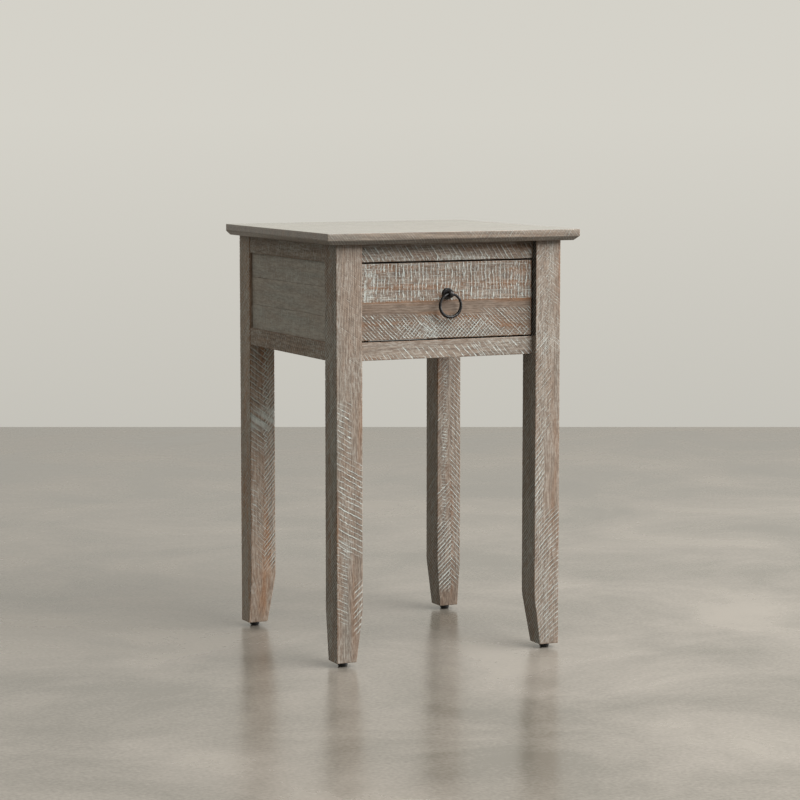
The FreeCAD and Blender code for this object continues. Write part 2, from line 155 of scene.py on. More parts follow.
def box_grid(lines):
    """Points, quads and the side of each quad of a closed box on three sets of grid lines."""
    counts = [len(line) for line in lines]
    quads, sides = [], []
    for axis in range(3):
        a, b = (axis + 1) % 3, (axis + 2) % 3
        ia, ib = np.meshgrid(np.arange(counts[a] - 1), np.arange(counts[b] - 1), indexing="ij")
        for end in (0, 1):
            corners = np.zeros((ia.size, 4, 3), int)
            order = ((0, 0), (1, 0), (1, 1), (0, 1)) if end else ((0, 0), (0, 1), (1, 1), (1, 0))
            for k, (step_a, step_b) in enumerate(order):
                corners[:, k, axis] = end * (counts[axis] - 1)
                corners[:, k, a] = ia.ravel() + step_a
                corners[:, k, b] = ib.ravel() + step_b
            quads.append(corners)
            sides.append(np.full(ia.size, 2 * axis + end))
    quads = np.concatenate(quads)
    keys = (quads[..., 0] * counts[1] + quads[..., 1]) * counts[2] + quads[..., 2]
    used, index = np.unique(keys, return_inverse=True)
    points = np.stack([lines[0][used // (counts[1] * counts[2])],
                       lines[1][used // counts[2] % counts[1]],
                       lines[2][used % counts[2]]], 1)
    return points, index.reshape(-1, 4), np.concatenate(sides)


def ease_edges(points, low, high, radius, square):
    """Round the edges of the box, except along the sides named in square."""
    inset_low = np.array([0 if SIDES[2 * k] in square else radius for k in range(3)])
    inset_high = np.array([0 if SIDES[2 * k + 1] in square else radius for k in range(3)])
    core = np.clip(points, low + inset_low, high - inset_high)
    away = points - core
    outer = np.abs(away).max(1) > radius * 0.999
    length = np.maximum(np.linalg.norm(away, axis=1), 1e-9)
    eased = core + away / length[:, None] * radius
    return np.where(outer[:, None], eased, points)


print("a coarse test box has", len(box_grid([np.array([0, 1, 2.0])] * 3)[1]), "quads")

# %% [markdown]
# ## The saw, as one set of nodes
# `saw_pass` turns a place on a face into the depth of the groove there. Rows are numbered by
# dividing the slanted distance along the board by the pitch; every row draws its own random
# width and place; one noise breaks rows into strokes and a broader one leaves whole patches
# plain. The node kinds used here exist in both Geometry Nodes and materials, so one function
# serves both.

# %% Saw marks
def read(tree, name):
    """A vector stored on the board, in a geometry tree or in a material."""
    if tree.type == "GEOMETRY":
        return add(tree, "GeometryNodeInputNamedAttribute", {"Name": name},
                   data_type="FLOAT_VECTOR").outputs[0]
    return add(tree, "ShaderNodeAttribute", attribute_name=name).outputs["Vector"]


# What all passes share. Rates are cycles per metre, so 110 is a stroke about every 9 mm. Seat
# and half width are shares of a row, a floor is where a noise starts to count as wood uncut,
# stray is how ragged the end of a pass is and blur how softly it fades.
SEED_STEP = 3.7
ROW_STRAY = 5.0 * MM
ROW_SEAT = {"To Min": 0.38, "To Max": 0.62}
HALF_WIDTH = {"To Min": 0.4, "To Max": 0.75}
FLANK_SHIFT = 1.6
SOFT_BAND = {"From Min": 1.0, "From Max": 0.25}
STROKE_RATE_ACROSS, STROKE_RATE_ALONG = 110.0, 90.0
STROKE_FLOOR = {"To Min": 0.28, "To Max": 0.58}
STROKE_EDGE = 5.0
PRESS = {"To Min": 0.55, "To Max": 1.0}
PATCH_RATE_ALONG, PATCH_RATE_ACROSS, PATCH_SEED = 14.0, 38.0, 5.3
PATCH_HELP = 0.42
PATCH_EDGE = {"From Min": 0.66, "From Max": 0.92}
ZONE_STRAY, ZONE_BLUR = 20 * MM, 8 * MM
REACH_STRAY, REACH_BLUR = 7 * MM, 2 * MM
WANDER_RATE_ALONG, WANDER_RATE_ACROSS = 14.0, 40.0
CHATTER_RATE, CHATTER_SHARE = (170.0, 170.0, 7.0), 0.6


def saw_rows(tree, rows, pitch, width, own_seed):
    """Groove and flank, 0 to 1, at a place among the rows, and the row's number and luck."""
    row = add(tree, MATH, [rows], operation="FLOOR")
    dice = add(tree, SPLIT, [add(tree, "ShaderNodeTexWhiteNoise", {"Vector": add(
        tree, JOIN, [row, own_seed, 0.5])}, noise_dimensions="3D").outputs["Color"]]).outputs
    middle = add(tree, RANGE, {"Value": dice[0], **ROW_SEAT})
    part = add(tree, MATH, [add(tree, MATH, [rows], operation="FRACT"), middle],
               operation="SUBTRACT")
    half = add(tree, MATH, [width, add(tree, RANGE, {"Value": dice[1], **HALF_WIDTH})],
               operation="MULTIPLY")
    off_line = add(tree, MATH, [add(tree, MATH, [part, pitch], operation="MULTIPLY"), half],
                   operation="DIVIDE")
    bands = []
    for shift in (0.0, FLANK_SHIFT):
        away = add(tree, MATH, [add(tree, MATH, [off_line, shift], operation="ADD")],
                   operation="ABSOLUTE")
        bands.append(add(tree, RANGE, {"Value": away, **SOFT_BAND},
                         interpolation_type="SMOOTHSTEP"))
    return (*bands, row, dice[2])


def saw_strokes(tree, row, luck, along, across, own_seed, gaps, strength):
    """How much of a row is cut, 0 to 1: broken into strokes, and left out in whole patches."""
    own_row = add(tree, MATH, [row, 2.31, own_seed], operation="MULTIPLY_ADD")
    place = add(tree, JOIN, [
        own_row, add(tree, MATH, [across, STROKE_RATE_ACROSS], operation="MULTIPLY"),
        add(tree, MATH, [along, STROKE_RATE_ALONG], operation="MULTIPLY")])
    beads = add(tree, NOISE, {"Vector": place, "Scale": 1.0, "Detail": 4.0, "Roughness": 0.75})
    least = add(tree, RANGE, {"Value": gaps, **STROKE_FLOOR})
    stroke = add(tree, MATH, [add(tree, MATH, [beads, least], operation="SUBTRACT"), STROKE_EDGE],
                 operation="MULTIPLY", use_clamp=True)
    stroke = add(tree, MATH, [stroke, add(tree, RANGE, {"Value": luck, **PRESS})],
                 operation="MULTIPLY")
    place = add(tree, JOIN, [add(tree, MATH, [along, PATCH_RATE_ALONG], operation="MULTIPLY"),
                             add(tree, MATH, [across, PATCH_RATE_ACROSS], operation="MULTIPLY"),
                             add(tree, MATH, [own_seed, PATCH_SEED], operation="MULTIPLY")])
    patch = add(tree, MATH, [add(tree, NOISE, {"Vector": place, "Scale": 1.0, "Detail": 2.0}),
                             add(tree, MATH, [strength, PATCH_HELP], operation="MULTIPLY")])
    kept = add(tree, RANGE, {"Value": patch, **PATCH_EDGE})
    return add(tree, MATH, [stroke, kept], operation="MULTIPLY")


def saw_limits(tree, mask, wander, limits):
    """Fade a mask out past ragged limits, each a place, its low and high end, stray and blur."""
    for place, low, high, stray, blur in limits:
        ragged = add(tree, MATH, [wander, stray, place], operation="MULTIPLY_ADD")
        for upper, lower in ((ragged, low), (high, ragged)):
            inside = add(tree, RANGE, {
                "Value": add(tree, MATH, [upper, lower], operation="SUBTRACT"),
                "From Min": -blur, "From Max": blur})
            mask = add(tree, MATH, [mask, inside], operation="MULTIPLY")
    return mask


def saw_pass(tree, number, along, across, seed, wander, shake):
    """Depth and wax, 0 to 1, of the grooves of one pass, and the dark line along each groove."""
    slope, pitch, arc = add(tree, SPLIT, [read(tree, f"teeth_{number}")]).outputs
    start, stop, strength = add(tree, SPLIT, [read(tree, f"zone_{number}")]).outputs
    low, high, wax = add(tree, SPLIT, [read(tree, f"reach_{number}")]).outputs
    width, gaps, shadow = add(tree, SPLIT, [read(tree, f"blade_{number}")]).outputs
    own_seed = add(tree, MATH, [seed, SEED_STEP * number], operation="ADD")
    lean = add(tree, MATH, [add(tree, MATH, [arc, 1 / MM], operation="MULTIPLY"), across, slope],
               operation="MULTIPLY_ADD")
    slanted = add(tree, MATH, [across, lean, along], operation="MULTIPLY_ADD")
    bent = add(tree, MATH, [shake, ROW_STRAY, slanted], operation="MULTIPLY_ADD")
    rows = add(tree, MATH, [bent, pitch], operation="DIVIDE")
    line, flank, row, luck = saw_rows(tree, rows, pitch, width, own_seed)

    mask = saw_strokes(tree, row, luck, along, across, own_seed, gaps, strength)
    mask = saw_limits(tree, mask, wander, ((along, start, stop, ZONE_STRAY, ZONE_BLUR),
                                           (across, low, high, REACH_STRAY, REACH_BLUR)))
    present = add(tree, MATH, [strength, 4.0], operation="MULTIPLY", use_clamp=True)
    mask = add(tree, MATH, [mask, present], operation="MULTIPLY")
    groove = add(tree, MATH, [line, mask], operation="MULTIPLY")
    waxed = add(tree, MATH, [groove, wax], operation="MULTIPLY")
    dark = add(tree, MATH, [add(tree, MATH, [flank, mask], operation="MULTIPLY"), shadow],
               operation="MULTIPLY")
    return groove, waxed, dark


def saw_marks(tree):
    """Depth and wax of all grooves at a place on a face, and the dark lines beside them."""
    along, across, seed = add(tree, SPLIT, [read(tree, "face_place")]).outputs
    stretched = add(tree, JOIN, [
        add(tree, MATH, [along, WANDER_RATE_ALONG], operation="MULTIPLY"),
        add(tree, MATH, [across, WANDER_RATE_ACROSS], operation="MULTIPLY"), seed])
    wander = add(tree, MATH, [add(tree, NOISE, {"Vector": stretched, "Scale": 1.0, "Detail": 2.0}),
                              0.5], operation="SUBTRACT")
    fine = add(tree, VECTOR, [read(tree, "face_place"), CHATTER_RATE], operation="MULTIPLY")
    chatter = add(tree, MATH, [add(tree, NOISE, {"Vector": fine, "Scale": 1.0}), 0.5],
                  operation="SUBTRACT")
    shake = add(tree, MATH, [chatter, CHATTER_SHARE, wander], operation="MULTIPLY_ADD")
    most = None
    for number in range(PASSES):
        found = saw_pass(tree, number, along, across, seed, wander, shake)
        most = found if most is None else [add(tree, MATH, [a, b], operation="MAXIMUM")
                                           for a, b in zip(most, found)]
    return most


# %% [markdown]
# ## The press that dents the boards
# The tree moves each point inwards by the groove's depth there. The depth is worked out for
# the corners of the faces first, because a point on an edge belongs to two sides with
# different instructions, and the mean of two depths makes sense where the mean of two places
# would not.

# %% Geometry Nodes: sawn finish
# An arris is the corner line of a board. Within 2.5 mm of it a cut is torn up to 3.5 times as
# deep. Fur is the raised fibre of rough wood, 2.4 mm across and 25 mm long.
EDGE_WIDTH = {"From Min": 2.5 * MM, "From Max": 0.5 * MM}
TORN = {"To Min": 1.0, "To Max": 3.5}
FUR_RATE = (40.0, 420.0, 420.0)


def fresh_tree(name, inputs):
    """A Geometry Nodes tree with a geometry in and out and named inputs, and those inputs."""
    tree = bpy.data.node_groups.new(name, "GeometryNodeTree")
    for label, kind in (("Geometry", "Geometry"), *inputs.items(), ("Finish", "Material")):
        tree.interface.new_socket(label, in_out="INPUT", socket_type="NodeSocket" + kind)
    tree.interface.new_socket("Geometry", in_out="OUTPUT", socket_type="NodeSocketGeometry")
    return tree, add(tree, "NodeGroupInput").outputs


def close_tree(tree, shape, finish):
    """End a tree with real faces that carry their material."""
    whole = add(tree, "GeometryNodeRealizeInstances", [shape])
    named = add(tree, "GeometryNodeSetMaterial", {"Geometry": whole, "Material": finish})
    add(tree, "NodeGroupOutput", [named])
    return tree


def sawn_finish_tree():
    """Dent a blank along its saw marks and give it its material."""
    tree, start = fresh_tree("sawn_finish", {"Groove depth": "Float", "Fibre depth": "Float"})
    arris = add(tree, SPLIT, [read(tree, "arris")]).outputs[0]
    torn = add(tree, RANGE, {"Value": arris, **EDGE_WIDTH, **TORN})
    cut_in = add(tree, MATH, [saw_marks(tree)[0], torn], operation="MULTIPLY")
    depth = add(tree, MATH, [cut_in, start["Groove depth"]], operation="MULTIPLY")
    place = add(tree, VECTOR, [read(tree, "log_place"), FUR_RATE], operation="MULTIPLY")
    fibres = add(tree, NOISE, {"Vector": place, "Scale": 1.0})
    furry = add(tree, MATH, [fibres, start["Fibre depth"], depth], operation="MULTIPLY_ADD")
    settled = add(tree, "GeometryNodeFieldOnDomain", [furry], domain="CORNER", data_type="FLOAT")
    inward = add(tree, VECTOR, {0: add(tree, "GeometryNodeInputNormal"),
                                "Scale": add(tree, MATH, [settled, -1.0], operation="MULTIPLY")},
                 operation="SCALE")
    dented = add(tree, "GeometryNodeSetPosition", {"Geometry": start["Geometry"],
                                                   "Offset": inward})
    return close_tree(tree, dented, start["Finish"])


SAWN_FINISH = sawn_finish_tree()
print("sawn finish tree has", len(SAWN_FINISH.nodes), "nodes")

# %% [markdown]
# ## From a blank to a board
# A board takes its size from the CAD node that it stands for, so the two can't drift apart. It
# is cut as a blank, told how each side was sawn and where in the log it lay, dented by the
# tree and handed over on the node's own body.

# %% Turn a blank into a finished board
BOARD_SEED, SIDE_SEED = 1.37, 0.61
KNOT_LENGTH = 1.8
KNOT_PUSH = 11 * MM
PITH_AWAY = (20 * MM, 60 * MM)
SHARP_ANGLE = 55


def run_tree(piece, tree, settings):
    """Run a Geometry Nodes tree on a piece and keep the result as a plain mesh."""
    modifier = piece.modifiers.new("tree", "NODES")
    modifier.node_group = tree
    for item in tree.interface.items_tree:
        if item.in_out == "INPUT" and item.name in settings:
            modifier[item.identifier] = settings[item.name]
    bpy.context.view_layer.update()
    shaped = piece.evaluated_get(bpy.context.evaluated_depsgraph_get())
    mesh = bpy.data.meshes.new_from_object(shaped)
    piece.modifiers.remove(modifier)
    old, piece.data = piece.data, mesh
    bpy.data.meshes.remove(old)
    return piece


def lay_out_faces(mesh, points, sides, grain, number, cuts, finish):
    """Store on the mesh where each face corner lies on its side, and the side's instructions.
    A painted shade band is a side, a range of heights in mm, and the dark coat of painted shade it
    gets instead."""
    corner_point = np.empty(len(mesh.loops), int)
    mesh.loops.foreach_get("vertex_index", corner_point)
    corner_side = np.repeat(sides, 4)
    spots = points[corner_point]
    right, up = np.array(RIGHT_OF, float)[corner_side], np.array(UP_OF, float)[corner_side]
    middle = (points.min(0) + points.max(0)) / 2
    across_grain = np.abs(right[:, grain]) > 0.5
    first = np.where(across_grain[:, None], right, up)
    second = np.where(across_grain[:, None], up, right)
    place = np.stack([(spots * first).sum(1), ((spots - middle) * second).sum(1),
                      number * BOARD_SEED + corner_side * SIDE_SEED], 1)
    layers = {"face_place": ("CORNER", place)}
    for turn in range(PASSES):
        chosen = [(list(cuts.get(side, ())) + [NO_CUT] * PASSES)[turn] for side in SIDES]
        for part, layer in enumerate(PASS_LAYERS):
            layers[f"{layer}_{turn}"] = ("FACE", np.array([c[part] for c in chosen])[sides])
    washed = [finish.get(side, finish["all"]) for side in SIDES]
    coats = np.array(washed, float)[sides]
    if "unlimed" in finish:
        side, low, high, coat = finish["unlimed"]
        heights = spots[::4, 2]
        inside = (sides == SIDES.index(side)) & (heights > low * MM) & (heights < high * MM)
        coats[inside] = coat
    layers["finish"] = ("FACE", coats)
    weave = (finish.get("comb", 0.15), finish.get("even", 0.0), finish.get("figure", 0.6))
    layers["weave"] = ("FACE", np.tile(weave, (len(sides), 1)))
    for name, (domain, values) in layers.items():
        layer = mesh.attributes.new(name, "FLOAT_VECTOR", domain)
        layer.data.foreach_set("vector", values.astype(np.float32).ravel())


def store_log(mesh, points, grain, number, knots):
    """Store each point's place in the log the board was sawn from, pith along the first axis.
    A knot is a place and a radius in mm: rings are pushed outwards round it, and so close up.
    The arris layer holds the distance to the nearest edge, and how near a knot is, 0 to 1."""
    dice = np.random.default_rng(100 + number)
    turned = np.stack([points[:, grain], points[:, (grain + 1) % 3], points[:, (grain + 2) % 3]], 1)
    middle = (turned.min(0) + turned.max(0)) / 2
    turned[:, 1:] -= middle[1:]
    angle = dice.uniform(0, 2 * math.pi)
    turned[:, 0] += dice.uniform(-5, 5)
    turned[:, 1] += math.cos(angle) * dice.uniform(*PITH_AWAY)
    turned[:, 2] += math.sin(angle) * dice.uniform(*PITH_AWAY)
    knotty = np.zeros(len(points))
    for x, y, z, radius in knots:
        away = (points - np.array([x, y, z]) * MM) / (radius * MM)
        away[:, grain] /= KNOT_LENGTH
        near = np.exp(-(away ** 2).sum(1))
        out = turned[:, 1:] / np.linalg.norm(turned[:, 1:], axis=1, keepdims=True)
        turned[:, 1:] += out * (KNOT_PUSH * near)[:, None]
        knotty = np.maximum(knotty, near)
    to_sides = np.sort(np.concatenate([points - points.min(0), points.max(0) - points], 1), 1)
    arris = np.stack([to_sides[:, 1], knotty, np.zeros(len(points))], 1)
    for name, values in (("log_place", turned), ("arris", arris)):
        layer = mesh.attributes.new(name, "FLOAT_VECTOR", "POINT")
        layer.data.foreach_set("vector", values.astype(np.float32).ravel())


def board(node, body, finish_name, grain, number, cuts, finish, cell=1.5, radius=1.1,
          square=(), rule=None, extra=((), (), ()), reach=(0, 0, 0), groove=0.35, fibre=0.08,
          knots=()):
    """Make the board that stands for a CAD node, from the node's own box. Sizes are in mm. Grain
    is the axis of the log, 0 to 2, and number picks the board's own place in it."""
    low, high = (np.array(corner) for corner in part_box(node))
    grown = np.array(reach) * MM
    low, high = low - grown, high + grown
    lines = [grid_lines(low[k], high[k], cell * MM, radius * MM, np.array(extra[k]) * MM)
             for k in range(3)]
    points, quads, sides = box_grid(lines)
    points = ease_edges(points, low, high, radius * MM, square)
    if rule:
        points = rule(points)
    mesh = bpy.data.meshes.new(node + "_blank")
    mesh.from_pydata(points.tolist(), [], quads.tolist())
    lay_out_faces(mesh, points, sides, grain, number, cuts, finish)
    store_log(mesh, points, grain, number, knots)
    mesh.polygons.foreach_set("use_smooth", np.ones(len(quads), bool))
    piece = bpy.data.objects.new(node + "_sawn", mesh)
    bpy.context.scene.collection.objects.link(piece)
    run_tree(piece, SAWN_FINISH, {"Groove depth": groove * MM, "Fibre depth": fibre * MM,
                                  "Finish": bpy.data.materials[finish_name]})
    piece.data.set_sharp_from_angle(angle=math.radians(SHARP_ANGLE))
    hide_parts(node)
    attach(piece, body)
    print(node, len(piece.data.polygons), "quads")
    return piece


# %% [markdown]
# ## Pine
# Pine grows a pale soft band each spring and a narrow dark one each summer. A board is a slice
# through those cylinders, so the grain is drawn as distance from the pith of a slightly
# crooked log. End grain then shows arcs and the long faces show flames, with no seam between.
# Rings are 3.1 mm apart. Fibres are streaks 2.4 mm wide with finer ones inside, thicker than
# life so that they show.

# %% Grain of a pine log
RING_GAP = 3.1 * MM
CROOKED_RATE = (2.4, 10.0, 10.0)
CROOKED = (0.0, 26 * MM, 26 * MM)
FIBRE_RATE = (75.0, 420.0, 420.0)


def pine_grain(tree, log):
    """Share of summer wood (0 to 1) and a fibre noise (0 to 1) at a place in the log."""
    slow = add(tree, NOISE, {"Vector": add(tree, VECTOR, [log, CROOKED_RATE],
                                           operation="MULTIPLY"), "Scale": 1.0, "Detail": 2.0})
    bend = add(tree, VECTOR, [slow.outputs["Color"], (0.5, 0.5, 0.5)], operation="SUBTRACT")
    crooked = add(tree, VECTOR, [bend, CROOKED, log], operation="MULTIPLY_ADD")
    _, y, z = add(tree, SPLIT, [crooked]).outputs
    radius = add(tree, VECTOR, {0: add(tree, JOIN, [0.0, y, z])}, operation="LENGTH").outputs["Value"]
    rings = add(tree, MATH, [add(tree, MATH, [radius, RING_GAP], operation="DIVIDE")],
                operation="FRACT")
    swell = add(tree, RANGE, {"Value": rings, "From Min": 0.25, "From Max": 0.85},
                interpolation_type="SMOOTHSTEP")
    drop = add(tree, RANGE, {"Value": rings, "From Min": 1.0, "From Max": 0.9})
    summer = add(tree, MATH, [swell, drop], operation="MULTIPLY")
    streaks = add(tree, VECTOR, [log, FIBRE_RATE], operation="MULTIPLY")
    fibre = add(tree, NOISE, {"Vector": streaks, "Scale": 1.0, "Detail": 4.0, "Roughness": 0.72})
    return summer, fibre.outputs[0]


# %% [markdown]
# ## Limed, rough-sawn pine
# The boards were sawn and left rough, stained grey-brown, rubbed with white lime wax and wiped.
# The wax stays in the saw grooves, in the open fibres and in cloudy patches, and is wiped off
# the high wood, which keeps a pinkish brown. It is matt. The dark line beside each groove is
# painted shadow. The `finish` attribute says per side how much wax was left, how warm the stain
# is, and its tone, where 1 is the plain stain. The dark tone on faces round the drawer is
# painted shade, and the raised tone of the back-left leg is painted light.

# %% Material: limed sawn pine
# Clouds, patches and streaks are drawn out along the grain. The comb is the row of fine scores
# that the teeth leave across it, 3 mm apart.
SPRING, SUMMER, KNOT_CORE = "#8b7969", "#634f40", "#4b3527"
WORN_WOOD, WEATHERED, LIME_WAX = "#855e3e", "#746e64", "#c9cfc9"
CLOUD_RATE = (6.0, 60.0, 60.0)
PATCHY_RATE = (11.0, 60.0, 60.0)
COMB_RATE = (330.0, 75.0, 7.0)
HEART = {"From Min": 0.60, "From Max": 0.85, "To Max": 0.75}
WORN_EDGE = {"From Min": 2.2 * MM, "From Max": 0.6 * MM, "To Max": 0.6}
LEAST_ORANGE = 0.16
FILM_GAIN, FILM_LEAST = 0.52, 0.15
MOST_WAX = 0.95


def stained(tree, log, summer, fibre, figure, warmth, tone, dark):
    """Colour of the stained wood under the wax: rings, knots, worn edges, clouds and shadows."""
    clouds = add(tree, NOISE, {"Vector": add(tree, VECTOR, [log, CLOUD_RATE],
                                             operation="MULTIPLY"), "Scale": 1.0, "Detail": 3.0})
    red, green, blue = add(tree, SPLIT, [clouds.outputs["Color"]]).outputs
    arris, knot, _ = add(tree, SPLIT, [read(tree, "arris")]).outputs
    rings = add(tree, MATH, [summer, figure], operation="MULTIPLY")
    heart = add(tree, RANGE, {"Value": knot, **HEART})
    orange = add(tree, RANGE, {"Value": red, "From Min": 0.52, "From Max": 0.70})
    orange = add(tree, MATH, [add(tree, MATH, [orange, LEAST_ORANGE], operation="ADD"),
                              add(tree, RANGE, {"Value": arris, **WORN_EDGE})], operation="ADD")
    orange = add(tree, MATH, [orange, warmth], operation="MULTIPLY", use_clamp=True)
    cool = add(tree, MATH, [1.2, warmth], operation="SUBTRACT", use_clamp=True)
    grey = add(tree, RANGE, {"Value": green, "From Min": 0.50, "From Max": 0.68, "To Max": 0.6})
    grey = add(tree, MATH, [grey, cool], operation="MULTIPLY")
    stain = paint(SPRING)
    for share, colour in ((rings, SUMMER), (heart, KNOT_CORE), (orange, WORN_WOOD),
                          (grey, WEATHERED)):
        stain = add(tree, MIX, {"Factor": share, "A": stain, "B": paint(colour)},
                    data_type="RGBA").outputs["Result"]

    shade = add(tree, RANGE, {"Value": fibre, "From Min": 0.3, "From Max": 0.7,
                              "To Min": 0.60, "To Max": 1.26})
    broad = add(tree, RANGE, {"Value": blue, "From Min": 0.3, "From Max": 0.7,
                              "To Min": 0.88, "To Max": 1.10})
    for factor in (broad, tone, add(tree, MATH, [1.0, dark], operation="SUBTRACT")):
        shade = add(tree, MATH, [shade, factor], operation="MULTIPLY")
    return add(tree, MIX, {"Factor": 1.0, "A": stain, "B": shade}, data_type="RGBA",
               blend_type="MULTIPLY").outputs["Result"]


def wax_share(tree, log, weave, waxed, lime, even):
    """How much wax lies at a place, 0 to 1: in the grooves, the fibres and cloudy patches."""
    patches = add(tree, NOISE, {"Vector": add(tree, VECTOR, [log, PATCHY_RATE],
                                              operation="MULTIPLY"), "Scale": 1.0, "Detail": 4.0})
    cloudy = add(tree, RANGE, {"Value": patches, "From Min": 0.36, "From Max": 0.64,
                               "To Min": 0.3})
    cloudy = add(tree, MIX, [even, None, cloudy, 0.75], data_type="FLOAT")
    caught = add(tree, RANGE, {"Value": weave, "From Min": 0.46, "From Max": 0.58})
    caught = add(tree, MIX, [even, None, caught, 0.5], data_type="FLOAT")
    film = add(tree, MATH, [caught, FILM_GAIN, FILM_LEAST], operation="MULTIPLY_ADD")
    for factor in (cloudy, lime):
        film = add(tree, MATH, [film, factor], operation="MULTIPLY")
    rubbed = add(tree, MATH, [waxed, film], operation="ADD", use_clamp=True)
    return add(tree, MATH, [rubbed, MOST_WAX], operation="MULTIPLY")


def limed_pine(name, roughness, bump):
    """Sawn pine, stained grey-brown, with lime wax in the low places."""
    material, tree = fresh_material(name)
    groove, waxed, dark = saw_marks(tree)
    log = read(tree, "log_place")
    summer, fibre = pine_grain(tree, log)
    lime, warmth, tone = add(tree, SPLIT, [read(tree, "finish")]).outputs
    comb, even, figure = add(tree, SPLIT, [read(tree, "weave")]).outputs
    stain = stained(tree, log, summer, fibre, figure, warmth, tone, dark)
    teeth = add(tree, NOISE, {"Vector": add(tree, VECTOR, [read(tree, "face_place"), COMB_RATE],
                                            operation="MULTIPLY"), "Scale": 1.0, "Detail": 2.0})
    weave = add(tree, MIX, [comb, None, fibre, teeth], data_type="FLOAT")
    colour = add(tree, MIX, {"Factor": wax_share(tree, log, weave, waxed, lime, even),
                             "A": stain, "B": paint(LIME_WAX)},
                 data_type="RGBA").outputs["Result"]
    height = add(tree, MATH, [weave, 0.7, add(tree, MATH, [groove, -1.0], operation="MULTIPLY")],
                 operation="MULTIPLY_ADD")
    relief = add(tree, "ShaderNodeBump", {"Strength": bump, "Distance": 0.4 * MM,
                                          "Height": height})
    shader = add(tree, "ShaderNodeBsdfPrincipled", {"Base Color": colour, "Roughness": roughness,
                                                    "IOR": 1.5, "Normal": relief})
    add(tree, "ShaderNodeOutputMaterial", [shader])
    return material


limed_pine("limed_sawn_pine", roughness=0.78, bump=1.0)
limed_pine("limed_sanded_pine", roughness=0.25, bump=0.08)
print("materials", [m.name for m in bpy.data.materials])

# %% [markdown]
# ## Legs
# A leg is one stick, 41.5 mm square, sawn to a taper on its two inner faces over the last
# 75 mm. The taper is a rule on the blank: every level is shrunk towards the outer corner.

# %% Legs
# Each finish is wax, warmth and tone. OPENING is the drawer's height range on a leg, in mm.
LIME = {"all": (0.5, 0.6, 0.97)}
# The back-left leg's raised tone, 1.40, is painted light standing in for light that reaches that leg.
PAINTED_LIGHT_PALE = {"all": (0.50, 1.0, 1.40)}
BROWN = {"all": (0.3, 0.8, 0.88)}
LEG_FINISH = {"leg_back_left": PAINTED_LIGHT_PALE, "leg_back_right": BROWN}
# A dark coat with no wax for faces that look into the gaps round the drawer: painted shade.
PAINTED_GAP_SHADE = (0.0, 0.3, 0.25)
OPENING = (475, 618)
TAPER = 10 * MM
TAPER_RISE = 75 * MM
KINK = 7 * MM


def taper_rule(node):
    """The rule that tapers a leg's two inner faces at the foot."""
    low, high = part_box(node)
    outer_x = low.x if low.x + high.x < 0 else high.x
    outer_y = low.y if low.y + high.y < 0 else high.y
    side = high.x - low.x

    def rule(points):
        below = low.z + TAPER_RISE - points[:, 2]
        soft = np.where(np.abs(below) < KINK, (below + KINK) ** 2 / (4 * KINK),
                        np.maximum(below, 0))
        share = 1 - TAPER / TAPER_RISE * soft / side
        points = points.copy()
        points[:, 0] = outer_x + (points[:, 0] - outer_x) * share
        points[:, 1] = outer_y + (points[:, 1] - outer_y) * share
        return points
    return rule


PLAIN_SIDE = [cut(-1.0, 5.6, strength=2.0, width=2.0, wax=0.8, gaps=0.2, shadow=0.8)]
LEG_CUTS = {
    "leg_front_left": [
        cut(0.55, 8, (168, 300), (-18, 21), 2.0, width=2.2, gaps=0.2, shadow=0.8),
        cut(0.55, 8, (296, 385), (-20, 3), 1.6, width=2.2, shadow=0.7),
        cut(-0.85, 9, (55, 125), (8, 21), 2.0, width=2.6, gaps=0.2, shadow=0.6),
        cut(0.40, 6.0, (70, 190), (-21, -3), 1.8, width=1.9, gaps=0.45),
        cut(0.62, 6.5, (385, 605), strength=1.0, width=1.5, wax=0.15, gaps=0.6, shadow=0.35)],
    "leg_front_right": [
        cut(-0.95, 7.2, (12, 212), strength=2.0, arc=0.007, gaps=0.25, shadow=0.7),
        cut(-1.25, 8, (205, 335), (-21, -5), 2.0, width=2.3, gaps=0.15, shadow=0.7),
        cut(-1.15, 6.2, (450, 610), (-21, 3), 1.7, gaps=0.55, wax=0.8),
        cut(0.7, 5.2, (440, 618), (-8, 21), 1.5, width=1.9, wax=0.6, gaps=0.6),
        cut(-1.05, 7, (330, 480), (-21, 6), 1.7, wax=0.7, gaps=0.4)],
    "leg_back_left": [
        cut(0.72, 8.5, (280, 448), (-21, 10), 2.2, width=2.4, gaps=0.15, shadow=0.8),
        cut(-1.2, 7.2, (95, 448), (2, 21), 2.2, width=2.4, gaps=0.15, shadow=0.7),
        cut(0.72, 15, (318, 346), strength=3.0, width=16, gaps=0.0, shadow=0.0),
        cut(0.5, 8, (150, 285), (-21, -10), 1.4),
        cut(1.0, 7.5, (100, 290), (-12, 8), 1.3, wax=0.6)],
    "leg_back_right": [
        cut(1.05, 8, (40, 430), (2, 21), 2.0, width=2.0, gaps=0.2, shadow=0.7),
        cut(-1.0, 7.7, (35, 155), (-21, 6), 2.3, width=3.0, gaps=0.1, shadow=0.9),
        cut(-0.9, 8, (165, 215), (-21, 4), 1.2),
        cut(0.2, 5, (120, 420), (-12, -4), 0.8),
        cut(-1.0, 8, (230, 440), (-21, -2), 1.5, wax=0.7)],
}
for number, (node, cuts) in enumerate(LEG_CUTS.items(), start=1):
    faces = {"front": cuts, "left": PLAIN_SIDE, "right": PLAIN_SIDE, "back": cuts}
    finish = dict(LEG_FINISH.get(node, LIME))
    if "front" in node:
        inner = "right" if "left" in node else "left"
        # The inner face of a front leg beside the drawer opening gets the dark coat of painted shade.
        finish["unlimed"] = (inner, *OPENING, PAINTED_GAP_SHADE)
    board(node, "frame", "limed_sawn_pine", 2, number, faces, finish,
          rule=taper_rule(node))
